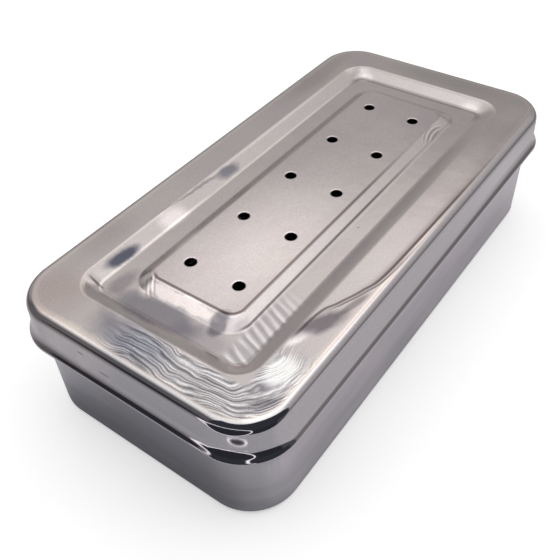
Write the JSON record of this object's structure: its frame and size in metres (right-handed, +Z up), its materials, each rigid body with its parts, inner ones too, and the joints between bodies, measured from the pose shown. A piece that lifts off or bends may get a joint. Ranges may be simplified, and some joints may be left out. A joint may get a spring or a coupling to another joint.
{
  "type": "instrument cassette box",
  "caption": "Drawn steel tray with rounded corners and a lift-off lid whose stepped top has a raised, vented middle panel, for holding small instruments in cleaning and storage.",
  "frame": {"origin": "middle of the footprint, on the surface that the tray stands on", "axes": "+X along the box's length, +Y across it, +Z up through the lid"},
  "size_m": [0.203, 0.1022, 0.049],
  "materials": {
    "tray_steel": "bright drawn stainless sheet, satin, with faint upright draw marks",
    "lid_steel": "bright pressed stainless sheet, satin, with slight waviness from the press"
  },
  "bodies": {
    "tray": {"tray": "tray_steel"},
    "lid": {"lid": "lid_steel"}
  },
  "joints": [
    {"name": "lid_lift", "type": "slide", "parent": "tray", "child": "lid", "axis": [0, 0, 1], "range_m": [0, 0.07]}
  ]
}
